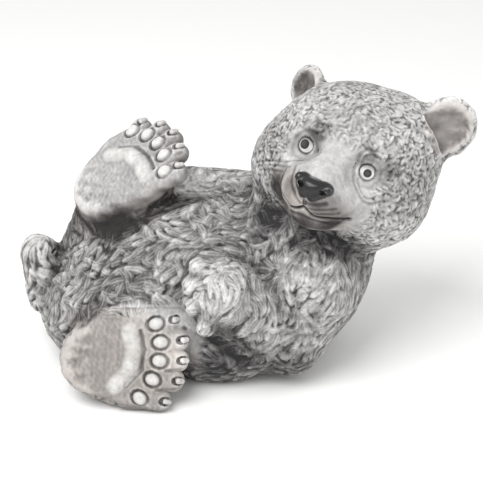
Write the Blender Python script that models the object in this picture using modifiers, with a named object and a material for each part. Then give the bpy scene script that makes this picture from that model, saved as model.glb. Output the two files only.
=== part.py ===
"""Garden figure of a panda cub lying on its back, cast in stone as one solid.

The cub's tail points along -X, its head along +X and its near side to -Y. Its back is flat on z = 0.
Sizes of the carving are in figure millimetres, which are real ones at the length given below.
"""

import math

import bmesh
import bpy
import numpy as np
from mathutils import Matrix, Vector, kdtree, noise

# Driving sizes, in metres
FIGURE_LENGTH = 0.410  # from the tail to the rim of the left ear

# How the figure meets the eye of someone looking down on it, in degrees
LEAN_BACK = 27

# Sizes of the carving, in figure millimetres
EYE_APART = 56
EYE_RADIUS = 8.2
LID_THICKNESS = 2.4
EAR_RIM = 4.5
NOSE_WIDTH = 34
NOSE_DEPTH = 13.5
MUZZLE_WIDTH = 74
TOE_COUNT = 5
TOE_RADIUS = 10.2
TOE_PAD_RADIUS = 5.0
PAD_RAISE = 3.8
CLAW_RADIUS = 3.2
SOLE_BAR_RADIUS = 7.0
FINGER_COUNT = 4
FINGER_RADIUS = 8.5

LOCK_LENGTH = 52
LOCK_WIDTH = 24
LOCK_SPACING = 22
LOCK_RAISE = 5.5

# How fine the casting is worked
BLANK_VOXEL = 3.0
SETTLE_ROUNDS = 8
FACE_BUDGET = 9900
FINE_FACTOR = 12
COAT_SEED = 7


def turned(origin, *turns):
    """A frame at origin, turned about its own axes by (axis, degrees) pairs, outermost first."""
    matrix = Matrix.Translation(Vector(origin))
    for axis, degrees in turns:
        matrix = matrix @ Matrix.Rotation(math.radians(degrees), 4, axis)
    return matrix


FIGURE = turned((0, 0, 0))
HEAD = turned((93, 5, 179), ("X", -LEAN_BACK), ("Y", 21), ("X", 16), ("Z", -15))
NEAR_FOOT = turned((-98, -100, 44), ("X", -LEAN_BACK))
FAR_FOOT = turned((-103, 9, 182), ("X", -LEAN_BACK), ("Y", -39), ("X", -38))
NEAR_PAW = turned((-17, -84, 101), ("X", -LEAN_BACK), ("Y", 8))


class Form:
    """One lump of the figure: it is added to what is there, or cut from it, with a soft edge."""

    def __init__(self, frame, blend, cut):
        self.blend = blend
        self.cut = cut
        self.frame = frame
        inverse = np.array(frame.inverted())
        self.turn = inverse[:3, :3]
        self.shift = inverse[:3, 3]
        self.middle = np.array(frame.translation)

    def local(self, points):
        return points @ self.turn.T + self.shift


class Ball(Form):
    """An ellipsoid with its centre at the frame's origin."""

    def __init__(self, frame, radii, blend, cut=False):
        super().__init__(frame, blend, cut)
        self.radii = np.array(radii, float)
        self.reach = max(radii)

    def distance(self, points):
        scaled = self.local(points) / self.radii
        near = np.linalg.norm(scaled, axis=1)
        slope = np.linalg.norm(scaled / self.radii, axis=1)
        return near * (near - 1) / np.maximum(slope, 1e-9)

    def shape(self, bm):
        matrix = self.frame @ Matrix.Diagonal((*self.radii, 1))
        bmesh.ops.transform(bm, matrix=matrix, verts=bm.verts)


class Limb(Form):
    """A round limb of changing thickness along its frame's Z axis."""

    def __init__(self, frame, length, radius, end_radius, blend, cut=False):
        super().__init__(frame, blend, cut)
        self.length = length
        self.radius = radius
        self.end_radius = end_radius
        self.middle = np.array(frame @ Vector((0, 0, length / 2)))
        self.reach = length / 2 + max(radius, end_radius)

    def distance(self, points):
        p = self.local(points)
        along = np.clip(p[:, 2] / self.length, 0, 1)
        p[:, 2] -= along * self.length
        return np.linalg.norm(p, axis=1) - self.radius - along * (self.end_radius - self.radius)

    def shape(self, bm):
        for vert in bm.verts:
            at_end = vert.co.z > 1e-6
            vert.co *= self.end_radius if at_end else self.radius
            vert.co.z += self.length if at_end else 0
            vert.co = self.frame @ vert.co


class Ring(Form):
    """An oval ring about its frame's Y axis, used to cut the groove round a pad."""

    def __init__(self, frame, radius, thickness, blend, stretch=1.0, cut=True):
        super().__init__(frame, blend, cut)
        self.radius = radius
        self.thickness = thickness
        self.stretch = stretch
        self.reach = radius * max(1, stretch) + thickness

    def distance(self, points):
        p = self.local(points)
        across = np.hypot(p[:, 0] / self.stretch, p[:, 2]) - self.radius
        return np.hypot(across, p[:, 1]) - self.thickness

    def shape(self, bm):
        for vert in bm.verts:
            vert.co = self.frame @ (vert.co * self.thickness)


class Block(Form):
    """A box centred on the frame's origin, used to cut a flat face."""

    def __init__(self, frame, half, blend):
        super().__init__(frame, blend, cut=True)
        self.half = np.array(half, float)
        self.reach = float(np.linalg.norm(self.half))

    def distance(self, points):
        past = np.abs(self.local(points)) - self.half
        return np.linalg.norm(np.maximum(past, 0), axis=1) + np.minimum(past.max(1), 0)


def ball(frame, centre, radii, blend, cut=False, turns=()):
    return Ball(frame @ turned(centre, *turns), radii, blend, cut)


def limb(frame, start, end, radius, end_radius, blend, cut=False):
    along = Vector(end) - Vector(start)
    turn = along.to_track_quat("Z", "Y").to_matrix().to_4x4()
    placed = frame @ Matrix.Translation(Vector(start)) @ turn
    return Limb(placed, along.length, radius, end_radius, blend, cut)


def body():
    return [
        ball(FIGURE, (-42, 5, 72), (115, 86, 80), 0),
        ball(FIGURE, (-113, 1, 45), (71, 74, 55), 16),
        ball(FIGURE, (22, 10, 58), (86, 72, 66), 16),
        ball(FIGURE, (50, 5, 92), (68, 72, 62), 16),
        ball(FIGURE, (-20, -30, 46), (76, 56, 56), 12),
        limb(FIGURE, (60, 4, 110), (84, 8, 160), 56, 50, 16),
        limb(FIGURE, (-176, 10, 52), (-185, 12, 93), 22, 17, 5),
    ]


def legs():
    return [
        limb(FIGURE, (-105, -10, 58), (-98, -66, 47), 52, 41, 16),
        limb(FIGURE, (-118, 32, 80), (-103, 20, 158), 50, 36, 16),
    ]


def arms():
    return [
        limb(FIGURE, (60, -44, 88), (40, -48, 43), 43, 35, 12),
        limb(FIGURE, (40, -48, 43), (-12, -72, 92), 36, 31, 8),
        limb(FIGURE, (50, 45, 118), (-40, 50, 132), 35, 27, 14),
        ball(FIGURE, (-58, 46, 140), (24, 22, 20), 8),
    ]


def paw():
    forms = [ball(NEAR_PAW, (0, 10, 0), (32, 20, 31), 8)]
    for i in range(FINGER_COUNT):
        z = 21 - i * 16.5
        out = 26 - 0.014 * (z - 6) ** 2
        forms.append(
            limb(NEAR_PAW, (-6, 6, z * 0.8), (-out, 3, z), FINGER_RADIUS, FINGER_RADIUS, 4)
        )
    return forms


def toe_places(spread, reach, bow, skew, lift):
    """Where each toe pad sits on the sole, as (along, across, share), the share being 1 to -1 across the toes."""
    places = []
    for i in range(TOE_COUNT):
        share = 1 - 2 * i / (TOE_COUNT - 1)
        places.append((reach - bow * share**2 + skew * share, spread * share + lift, share))
    return places


def toe(frame, along, across, out, tilt):
    """A toe ending at out, its claw on the round of the end, and its tilted pad in a groove."""
    pad = (TOE_PAD_RADIUS * 1.25, PAD_RAISE, TOE_PAD_RADIUS)
    pad_place = frame @ turned((along, 1.4, across), ("Y", tilt))
    start = (along - 8, 11, across * 0.97)
    end = (out - 8, 11, across * 1.08)
    claw_start = (out - 4.5, 2.6, across * 1.09)
    claw_end = (out + 0.3, 5.2, across * 1.12)
    return [
        limb(frame, start, end, TOE_RADIUS - 1, TOE_RADIUS, 1.5),
        limb(frame, claw_start, claw_end, CLAW_RADIUS, CLAW_RADIUS - 0.4, 0.6),
        ball(pad_place, (0, 0, 0), pad, 0.8),
        Ring(pad_place, TOE_PAD_RADIUS + 1.8, 1.6, 0.8, stretch=1.2),
    ]


def clefts(frame, toes):
    """The grooves between the toes, from the pads out to the edge."""
    forms = []
    for (along0, across0, out0), (along1, across1, out1) in zip(toes, toes[1:]):
        middle = (across0 + across1) / 2
        start = ((along0 + along1) / 2 + 9, 0.5, middle * 1.03)
        end = ((out0 + out1) / 2 + 2, 3, middle * 1.12)
        forms.append(limb(frame, start, end, 1.5, 2.6, 1.5, cut=True))
    return forms


def foot(frame, spread, reach, bow, skew, lift, heel, toe_length, low_toes, tilt, hand, bar_shift):
    forms = [
        ball(frame, (-30, 15, 3), (heel, 25, heel), 8),
        ball(frame, (-2, 17, 2), (46, 26, 39), 12),
        ball(frame, (8, 16, 0), (31, 25, 41), 10),
        Block(frame @ turned((0, -19, 0)), (62, 20, 47), 3.5),
    ]
    toes = []
    for along, across, share in toe_places(spread, reach, bow, skew, lift):
        out = along + toe_length - 4 * share**2 + low_toes * max(-share, 0)
        toes.append((along, across, out))
        forms += toe(frame, along, across, out, tilt[0] - tilt[1] * share)
    return forms + clefts(frame, toes) + sole_pad(frame, spread * hand, *bar_shift)


def sole_pad(frame, spread, x, z):
    """The raised bar across the ball of the foot, with a groove on its toe side."""
    bar = [(2 + x, spread * 0.85 + z), (5 + x, spread * 0.35 + z)]
    bar += [(2 + x, -spread * 0.2 + z), (-11 + x, -spread * 0.62 + z)]
    forms = []
    for (x0, z0), (x1, z1) in zip(bar, bar[1:]):
        forms.append(limb(frame, (x0, 5, z0), (x1, 5, z1), SOLE_BAR_RADIUS, SOLE_BAR_RADIUS, 3))
    for (x0, z0), (x1, z1) in zip(bar, bar[1:]):
        forms.append(limb(frame, (x0 + 9.5, 1, z0), (x1 + 9.5, 1, z1), 1.8, 1.8, 1.5, cut=True))
    return forms


def head():
    forms = [
        ball(HEAD, (0.5, 5, 9), (73.5, 70, 68), 10),
        ball(HEAD, (34, 6, 42), (36, 38, 34), 24),
        ball(HEAD, (0, -24, 26), (54, 42, 38), 24),
        ball(HEAD, (0, -58, -12), (MUZZLE_WIDTH / 2, 34, 28), 18),
        ball(HEAD, (0, -80, -15), (27, 21, 18), 12),
        ball(HEAD, (0, -66, -31), (22, 24, 14), 8),
        limb(HEAD, (0, -52, 16), (0, -88, 0), 15, 12, 14),
    ]
    for side in (-1, 1):
        forms.append(ball(HEAD, (side * 39 - 2, -8, -13), (40, 48, 39), 24))
    ears = ear(-1, (-64, 14, 50), 21, 46) + ear(1, (65, 14, 67), 27, 30)
    return forms + ears + eye(-1) + eye(1) + nose_and_mouth()


def ear(side, place, radius, outward):
    x, y, z = place
    turns = (("Z", side * outward), ("Y", side * 25))
    inner = radius - EAR_RIM
    return [
        ball(HEAD, place, (radius, 12, radius), 8, turns=turns),
        ball(HEAD, (x + side * 3, y - 13, z + 1), (inner, 10, inner), 2, cut=True, turns=turns),
    ]


def eye(side):
    """A socket, the ball and a rim round it with a heavier upper lid."""
    x = side * EYE_APART / 2 + 1.5
    lid = HEAD @ turned((x, -61, 17.5), ("Z", side * 16))
    return [
        ball(HEAD, (x, -72, 17.5), (15, 10, 12), 8, cut=True),
        ball(HEAD, (x, -56, 17.5), (EYE_RADIUS,) * 3, 1),
        Ring(lid, EYE_RADIUS, LID_THICKNESS, 0.8, cut=False),
        limb(lid, (-8, 0.5, 9), (8, 0.5, 9), 2.8, 2.8, 4),
    ]


def nose_and_mouth():
    """A rounded wedge of a nose with its nostrils, the cleft under it and the line of the mouth."""
    wide = NOSE_WIDTH / 2 - 3.6
    low = 3 - NOSE_DEPTH
    forms = [
        ball(HEAD, (0, -98, -3), (13, 8, 5.5), 1),
        ball(HEAD, (-1, -99, -6), (9, 7, 6), 2),
        limb(HEAD, (-wide, -98, -0.5), (wide, -98, -1.5), 3.4, 3.4, 1),
    ]
    for side in (-1, 1):
        forms.append(limb(HEAD, (side * wide, -99, -1), (side * 4 - 1, -101, low), 3.6, 3.6, 1.5))
    for side in (-1, 1):
        forms.append(limb(HEAD, (side * 11, -100, -4.5), (side * 8, -107, -6.5), 2.2, 2.8, 1, cut=True))
    forms.append(limb(HEAD, (-1, -107, low), (-1, -100, low - 9), 1.5, 1.5, 1, cut=True))
    for side in (-1, 1):
        line = [(-3, -100, -23), (side * 14, -95, -29), (side * 33, -76, -29)]
        for start, end in zip(line, line[1:]):
            forms.append(limb(HEAD, start, end, 1.8, 1.8, 1.2, cut=True))
    return forms


def figure_forms():
    near = foot(NEAR_FOOT, spread=32, reach=27.5, bow=10, skew=7, lift=1.5, heel=30, toe_length=23, low_toes=6,
                tilt=(12, 30), hand=1, bar_shift=(0, 0))
    far = foot(FAR_FOOT, spread=31, reach=34.5, bow=11, skew=0, lift=-3, heel=28, toe_length=19, low_toes=0,
               tilt=(0, 0), hand=-1, bar_shift=(6, 2))
    return body() + legs() + near + far + arms() + paw() + head()


def nearby(forms, points):
    """The points that each form can touch."""
    gaps = (np.linalg.norm(points - form.middle, axis=1) for form in forms)
    return [np.flatnonzero(gap < form.reach + form.blend + 14) for form, gap in zip(forms, gaps)]


def signed_distance(forms, near, points):
    """How far each point lies outside the blended surface of all the forms."""
    total = np.full(len(points), 1e3)
    for form, which in zip(forms, near):
        here = total[which]
        there = form.distance(points[which])
        if form.cut:
            here = -here
        joined = np.minimum(here, there)
        if form.blend:
            mix = np.maximum(form.blend - np.abs(here - there), 0) / form.blend
            joined -= mix * mix * form.blend / 4
        total[which] = -joined if form.cut else joined
    return total


def neighbour_mean(points, edges):
    """Each point's mean neighbour."""
    count = np.bincount(edges.ravel(), minlength=len(points))
    total = np.empty_like(points)
    for axis in range(3):
        ends = points[edges[:, ::-1], axis].ravel()
        total[:, axis] = np.bincount(edges.ravel(), ends, len(points))
    return total / count[:, None]


def settle(mesh, forms):
    """Moves the blank's points onto the blended surface, and evens them out along it."""
    count = len(mesh.vertices)
    points = np.empty(count * 3)
    mesh.vertices.foreach_get("co", points)
    points = points.reshape(-1, 3)
    edges = np.empty(len(mesh.edges) * 2, np.int64)
    mesh.edges.foreach_get("vertices", edges)
    edges = edges.reshape(-1, 2)
    near = nearby(forms, points)
    for _ in range(SETTLE_ROUNDS):
        normal = np.empty(count * 3)
        mesh.vertex_normals.foreach_get("vector", normal)
        normal = normal.reshape(-1, 3)
        pull = neighbour_mean(points, edges) - points
        points += 0.6 * (pull - 0.9 * (pull * normal).sum(1)[:, None] * normal)
        points -= np.clip(signed_distance(forms, near, points), -2, 2)[:, None] * normal
        mesh.vertices.foreach_set("co", points.ravel())
        mesh.update()


def fine_places():
    """Balls inside which the carving is fine and keeps more facets, each with its weight."""
    return [
        (ball(HEAD, (0, -70, 0), (52, 50, 48), 0), 0.9),
        (ball(NEAR_FOOT, (14, 0, 0), (54, 14, 50), 0), 0.8),
        (ball(FAR_FOOT, (14, 0, 0), (54, 14, 50), 0), 0.8),
        (ball(NEAR_PAW, (-20, 0, 0), (26, 24, 42), 0), 0.6),
    ]


def remeshed(mesh, voxel):
    """The mesh as one even skin."""
    obj = bpy.data.objects.new("blank", mesh)
    bpy.context.scene.collection.objects.link(obj)
    skin = obj.modifiers.new("skin", "REMESH")
    skin.mode = "VOXEL"
    skin.voxel_size = voxel
    graph = bpy.context.evaluated_depsgraph_get()
    made = bpy.data.meshes.new_from_object(obj.evaluated_get(graph))
    bpy.data.objects.remove(obj)
    return made


def blank(forms):
    """All the added lumps as plain rounded shapes, skinned into one."""
    whole = bmesh.new()
    for form in forms:
        if form.cut:
            continue
        bm = bmesh.new()
        bmesh.ops.create_uvsphere(bm, u_segments=28, v_segments=16, radius=1)
        form.shape(bm)
        lump = bpy.data.meshes.new("lump")
        bm.to_mesh(lump)
        bm.free()
        whole.from_mesh(lump)
        bpy.data.meshes.remove(lump)
    mesh = bpy.data.meshes.new("blank")
    whole.to_mesh(mesh)
    whole.free()
    return remeshed(mesh, BLANK_VOXEL)


def bare_places():
    """Balls inside which the stone is carved smooth, without fur."""
    bare = [
        ball(HEAD, (0, -78, -14), (44, 48, 34), 0),
        ball(HEAD, (0, -60, 8), (24, 40, 26), 0),
        ball(HEAD, (-69, 2, 50), (18, 15, 19), 0),
        ball(HEAD, (71, 2, 68), (24, 15, 24), 0),
        ball(NEAR_FOOT, (0, -16, 0), (74, 28, 62), 0),
        ball(FAR_FOOT, (0, -16, 0), (74, 28, 62), 0),
        ball(NEAR_PAW, (-30, -2, 0), (14, 20, 38), 0),
    ]
    for side in (-1, 1):
        bare.append(ball(HEAD, (side * EYE_APART / 2 + 1.5, -62, 17), (17, 17, 15), 0))
    return bare


def furriness(points):
    """One where there is fur, nought on the soles, the muzzle and round the eyes."""
    amount = np.ones(len(points))
    for form in bare_places():
        amount = np.minimum(amount, np.clip(form.distance(points) / 9 + 0.3, 0, 1))
    return amount


def comb(point):
    """The way the fur lies at a point: back from the nose on the head, tailward on the body."""
    nose = HEAD @ Vector((0, -95, 0))
    crown = HEAD @ Vector((0, 0, 0))
    if (point - crown).length < 95:
        way = (point - nose).normalized()
    else:
        way = Vector((-0.8, -0.25, -0.45))
    return way + 1.1 * noise.noise_vector(point / 38)


def add_fur(mesh):
    """Raises overlapping locks, each with its root low and its tip proud."""
    count = len(mesh.vertices)
    tree = kdtree.KDTree(count)
    points = np.empty(count * 3)
    normals = np.empty(count * 3)
    mesh.vertices.foreach_get("co", points)
    mesh.vertex_normals.foreach_get("vector", normals)
    points, normals = points.reshape(-1, 3), normals.reshape(-1, 3)
    for i, point in enumerate(points):
        tree.insert(point, i)
    tree.balance()
    # Blender's noise vectors start from the clock unless they are given a seed
    noise.seed_set(COAT_SEED)
    rng = np.random.default_rng(COAT_SEED)
    taken = np.zeros(count, bool)
    height = np.zeros(count)
    head_middle = np.array(HEAD.translation)
    for i in rng.permutation(count):
        if taken[i]:
            continue
        size = 0.72 if np.linalg.norm(points[i] - head_middle) < 92 else 1
        found = tree.find_range(points[i], LOCK_LENGTH * size * 0.75)
        which = np.array([entry[1] for entry in found])
        gap = np.array([entry[2] for entry in found])
        taken[which[gap < LOCK_SPACING * size]] = True
        normal = normals[i]
        way = np.array(comb(Vector(points[i])))
        way -= way @ normal * normal
        way /= np.linalg.norm(way)
        side = np.cross(normal, way)
        step = points[which] - points[i]
        along = step @ way / (LOCK_LENGTH * size)
        bend = rng.uniform(-0.9, 0.9) * LOCK_WIDTH * size
        wide = LOCK_WIDTH * size * np.sqrt(np.clip(1 - (along * 2) ** 2, 0.02, 1)) * 0.6
        across = (step @ side - bend * (2 * along) ** 2 * 0.5) / wide
        facing = normals[which] @ normal > 0.2
        rise = np.clip(1 - across**2, 0, 1) * np.clip(0.5 + 1.2 * along, 0, 1)
        rise *= facing * np.clip((0.5 - along) * 5, 0, 1) * size
        height[which] = np.maximum(height[which], rise)
    points += ((height - 0.3) * LOCK_RAISE * furriness(points))[:, None] * normals
    mesh.vertices.foreach_set("co", points.ravel())
    mesh.update()


def thinned(mesh):
    """The same skin with only as many facets as the casting needs."""
    obj = bpy.data.objects.new("full", mesh)
    bpy.context.scene.collection.objects.link(obj)
    count = len(mesh.vertices)
    points = np.empty(count * 3)
    mesh.vertices.foreach_get("co", points)
    points = points.reshape(-1, 3)
    keep = np.zeros(count)
    for form, amount in fine_places():
        keep = np.maximum(keep, amount * np.clip(0.5 - form.distance(points) / 6, 0, 1))
    group = obj.vertex_groups.new(name="thin here")
    for i in range(count):
        group.add([i], 1 - keep[i], "REPLACE")
    thin = obj.modifiers.new("thin", "DECIMATE")
    thin.vertex_group = "thin here"
    thin.vertex_group_factor = FINE_FACTOR
    thin.ratio = FACE_BUDGET / (2 * len(mesh.polygons))
    graph = bpy.context.evaluated_depsgraph_get()
    made = bpy.data.meshes.new_from_object(obj.evaluated_get(graph))
    bpy.data.objects.remove(obj)
    return made


def drop_crumbs(bm):
    """Keeps the largest closed skin and removes any small one beside it, inside it or pinched to it."""
    seen = set()
    skins = []
    for start in bm.faces:
        if start in seen:
            continue
        seen.add(start)
        skin, front = [start], [start]
        while front:
            edges = [edge for edge in front.pop().edges if len(edge.link_faces) == 2]
            fresh = {face for edge in edges for face in edge.link_faces} - seen
            seen |= fresh
            skin += fresh
            front += fresh
        skins.append(skin)
    skins.sort(key=len)
    for skin in skins[:-1]:
        bmesh.ops.delete(bm, geom=skin, context="FACES")


def flat_backed(mesh):
    """Cuts the figure level where it rests and closes the cut."""
    bm = bmesh.new()
    bm.from_mesh(mesh)
    everything = bm.verts[:] + bm.edges[:] + bm.faces[:]
    bmesh.ops.bisect_plane(bm, geom=everything, dist=0.02, plane_co=(0, 0, 0), plane_no=(0, 0, 1),
                           clear_inner=True)
    for vert in bm.verts:
        if abs(vert.co.z) < 0.02:
            vert.co.z = 0
    rim = [edge for edge in bm.edges if edge.is_boundary]
    bmesh.ops.holes_fill(bm, edges=rim, sides=0)
    bmesh.ops.triangulate(bm, faces=bm.faces[:])
    drop_crumbs(bm)
    bmesh.ops.recalc_face_normals(bm, faces=bm.faces[:])
    bm.to_mesh(mesh)
    bm.free()


def to_size(mesh):
    """Scales to the figure's real length and centres it over the origin."""
    count = len(mesh.vertices)
    points = np.empty(count * 3)
    mesh.vertices.foreach_get("co", points)
    points = points.reshape(-1, 3)
    low, high = points.min(0), points.max(0)
    middle = (low + high) / 2
    print("figure millimetres", low, high)
    mesh.transform(Matrix.Translation((-middle[0], -middle[1], 0)))
    mesh.transform(Matrix.Scale(FIGURE_LENGTH / (high[0] - low[0]), 4))


def stone():
    material = bpy.data.materials.new("cast stone")
    material.use_nodes = True
    shader = material.node_tree.nodes["Principled BSDF"]
    shader.inputs["Base Color"].default_value = (0.36, 0.36, 0.36, 1)
    shader.inputs["Roughness"].default_value = 0.85
    return material


def clear_scene():
    for obj in list(bpy.data.objects):
        bpy.data.objects.remove(obj)


def main():
    clear_scene()
    forms = figure_forms()
    mesh = blank(forms)
    settle(mesh, forms)
    add_fur(mesh)
    mesh = thinned(mesh)
    flat_backed(mesh)
    to_size(mesh)
    mesh.materials.clear()
    mesh.materials.append(stone())
    cub = bpy.data.objects.new("panda_cub", mesh)
    collection = bpy.data.collections.new("panda cub figure")
    bpy.context.scene.collection.children.link(collection)
    collection.objects.link(cub)
    mesh.shade_smooth()
    print("facets", len(mesh.polygons))


main()
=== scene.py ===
import math

import bmesh
import bpy
import numpy as np
from mathutils import Matrix, Vector, kdtree, noise
from mathutils.bvhtree import BVHTree


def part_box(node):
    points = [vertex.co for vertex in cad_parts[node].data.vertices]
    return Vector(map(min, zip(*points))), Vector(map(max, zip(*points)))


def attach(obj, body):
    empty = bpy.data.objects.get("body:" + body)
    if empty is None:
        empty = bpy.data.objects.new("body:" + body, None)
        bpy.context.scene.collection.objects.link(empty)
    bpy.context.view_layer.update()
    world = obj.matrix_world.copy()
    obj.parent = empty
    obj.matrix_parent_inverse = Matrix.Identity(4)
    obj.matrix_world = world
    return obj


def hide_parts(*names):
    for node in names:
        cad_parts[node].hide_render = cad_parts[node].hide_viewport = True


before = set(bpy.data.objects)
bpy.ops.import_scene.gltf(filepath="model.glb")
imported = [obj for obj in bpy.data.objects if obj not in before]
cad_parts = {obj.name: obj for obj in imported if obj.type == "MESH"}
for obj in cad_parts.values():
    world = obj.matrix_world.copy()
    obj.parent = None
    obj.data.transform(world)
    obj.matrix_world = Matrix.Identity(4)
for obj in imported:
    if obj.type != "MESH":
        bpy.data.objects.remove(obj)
scene = bpy.context.scene
scene.view_settings.view_transform = "Standard"  # colours come out as typed, as in a catalogue picture
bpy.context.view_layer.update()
nodeLow, nodeHigh = (np.array(corner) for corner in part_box("panda_cub"))

# The cub is sculpted in figure millimetres, tail to -X, head to +X, its near side to -Y, its back on z = 0.
# Then it is set to the solid's place and size.
figure = {
    "low": (-204.7, -116.6),  # where the solid's own sculpture reaches, in figure millimetres
    "high": (204.7, 94.0),
    "leanBack": 27,  # degrees that the face and soles look up by, towards the camera
    "blankVoxel": 3.0,
    "fineVoxel": 1.05,
    "triangles": 196000,
    "seed": 11,
}

# The camera stands level with the photograph's view of the cub
view = {
    "pixels": 483,
    "mmPerPixel": 0.9,  # at the target
    "distance": 1250,
    "target": (0, 0, 110),
    "elevation": 27,
}


def place(origin, *turns):
    # a place in the figure, turned about its own axes by (axis, degrees) pairs, outermost first
    matrix = Matrix.Translation(Vector(origin))
    for axis, degrees in turns:
        matrix = matrix @ Matrix.Rotation(math.radians(degrees), 4, axis)
    return matrix


lean = ("X", -figure["leanBack"])
whole = place((0, 0, 0))
head = place((93, 5, 179), lean, ("Y", 21), ("X", 16), ("Z", -15))
nearFoot = place((-98, -100, 44), lean)
farFoot = place((-103, 9, 182), lean, ("Y", -39), ("X", -38))
nearPaw = place((-17, -84, 101), lean, ("Y", 8))


def viewAxes():
    a = math.radians(view["elevation"])
    return Vector((0, -math.cos(a), math.sin(a))), Vector((0, math.sin(a), math.cos(a)))


# Forms: each is a lump with a soft edge, added to what is there or cut from it

def makeForm(space, blend, cut, middle, reach, gap, shape):
    inverse = np.array(space.inverted())

    def local(points):
        return points @ inverse[:3, :3].T + inverse[:3, 3]

    return {"space": space, "blend": blend, "cut": cut, "middle": np.array(middle), "reach": reach,
            "gap": lambda points: gap(local(points)), "shape": shape}


def ball(space, centre, radii, blend, cut=False, turns=()):
    space = space @ place(centre, *turns)
    radii = np.array(radii, float)

    def gap(p):
        scaled = p / radii
        near = np.linalg.norm(scaled, axis=1)
        return near * (near - 1) / np.maximum(np.linalg.norm(scaled / radii, axis=1), 1e-9)

    def shape(co):
        return Vector([a * b for a, b in zip(co, radii)])

    return makeForm(space, blend, cut, space.translation, radii.max(), gap, shape)


def limb(space, start, end, radius, endRadius, blend, cut=False):
    along = Vector(end) - Vector(start)
    length = along.length
    space = space @ Matrix.Translation(Vector(start)) @ along.to_track_quat("Z", "Y").to_matrix().to_4x4()

    def gap(p):
        share = np.clip(p[:, 2] / length, 0, 1)
        beside = np.hypot(np.hypot(p[:, 0], p[:, 1]), p[:, 2] - share * length)
        return beside - radius - share * (endRadius - radius)

    def shape(co):
        return co * endRadius + Vector((0, 0, length)) if co.z > 1e-6 else co * radius

    middle = space @ Vector((0, 0, length / 2))
    return makeForm(space, blend, cut, middle, length / 2 + max(radius, endRadius), gap, shape)


def ring(space, radius, thickness, blend, stretch=1.0, cut=True):
    def gap(p):
        across = np.hypot(p[:, 0] / stretch, p[:, 2]) - radius
        return np.hypot(across, p[:, 1]) - thickness

    reach = radius * max(1, stretch) + thickness
    return makeForm(space, blend, cut, space.translation, reach, gap, lambda co: co * thickness)


def block(space, half, blend):
    half = np.array(half, float)

    def gap(p):
        past = np.abs(p) - half
        return np.linalg.norm(np.maximum(past, 0), axis=1) + np.minimum(past.max(1), 0)

    return makeForm(space, blend, True, space.translation, np.linalg.norm(half), gap, lambda co: co)


# The body, legs and arms

def bodyForms():
    return [
        ball(whole, (-42, 5, 72), (115, 86, 80), 0),
        ball(whole, (-113, 1, 45), (71, 74, 55), 16),
        ball(whole, (22, 10, 58), (86, 72, 66), 16),
        ball(whole, (50, 5, 92), (68, 72, 62), 16),
        ball(whole, (-20, -30, 46), (76, 56, 56), 12),
        limb(whole, (60, 4, 110), (84, 8, 160), 56, 50, 16),
    ]


def tailForms():
    return [limb(whole, (-176, 10, 52), (-185, 12, 93), 22, 17, 5)]


def legForms():
    return [
        limb(whole, (-105, -10, 58), (-98, -66, 47), 52, 41, 16),
        limb(whole, (-118, 32, 80), (-103, 20, 158), 50, 36, 16),
    ]


def armForms():
    return [
        limb(whole, (60, -44, 88), (40, -48, 43), 43, 35, 12),
        limb(whole, (40, -48, 43), (-12, -72, 92), 36, 31, 8),
        limb(whole, (50, 45, 118), (-40, 50, 132), 35, 27, 14),
        ball(whole, (-58, 46, 140), (24, 22, 20), 8),
    ]


paw = {"fingers": 4, "fingerRadius": 8.5, "spacing": 16.5, "reach": 26}


def pawForms():
    forms = [ball(nearPaw, (0, 10, 0), (32, 20, 31), 8)]
    for i in range(paw["fingers"]):
        z = 21 - i * paw["spacing"]
        out = paw["reach"] - 0.014 * (z - 6) ** 2
        radius = paw["fingerRadius"]
        forms.append(limb(nearPaw, (-6, 6, z * 0.8), (-out, 3, z), radius, radius, 4))
    return forms


# The feet: a sole cut flat, five toes with a pad and a claw each, and a raised bar across the ball

# the wall stain darkens the side wall under each sole with painted shade and its brown patina
foot = {
    "toes": 5, "toeRadius": 10.2, "padRadius": 4.7, "padRaise": 3.4, "ringGroove": 1.3,
    "clawRadius": 2.7, "barRadius": 7.0,
    "near": {"space": nearFoot, "spread": 32, "reach": 27.5, "bow": 10, "skew": 7, "lift": 1.5, "hand": 1,
             "heel": 30, "toeLength": 23, "lowToes": 6, "bar": (0, 0), "wall": 5, "wallShadeAndStain": 0.0,
             "furOver": 12, "padTilt": (12, 30), "firstClaw": 1, "soleStain": 0.05, "warmFrom": -40},
    "far": {"space": farFoot, "spread": 31, "reach": 34.5, "bow": 11, "skew": 0, "lift": -3, "hand": -1,
            "heel": 28, "toeLength": 19, "lowToes": 0, "bar": (6, 2), "wall": 15, "wallShadeAndStain": 0.26,
            "furOver": 0, "padTilt": (0, 0), "firstClaw": 0, "soleStain": 0.08, "warmFrom": 5},
}


def toePlaces(which):
    places = []
    for i in range(foot["toes"]):
        share = 1 - 2 * i / (foot["toes"] - 1)
        along = which["reach"] - which["bow"] * share**2 + which["skew"] * share
        places.append((along, which["spread"] * share + which["lift"], share))
    return places


def solePadBar(which):
    spread = which["spread"] * which["hand"]
    x, z = which["bar"]
    return [(2 + x, 5, spread * 0.85 + z), (5 + x, 5, spread * 0.35 + z), (2 + x, 5, -spread * 0.2 + z),
            (-11 + x, 5, -spread * 0.62 + z)]


def clawLine(which, along, across, share):
    # where a claw lies on the round end of its toe
    out = along + toeLength(which, share)
    return (out - 3.0, 2.9, across * 1.1), (out + 0.3, 5.2, across * 1.12)


def toeLength(which, share):
    return which["toeLength"] - 4 * share**2 + which["lowToes"] * max(-share, 0)


def padSpace(which, along, across, share):
    tilt, more = which["padTilt"]
    return which["space"] @ place((along, 1.5, across), ("Y", tilt - more * share))


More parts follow.
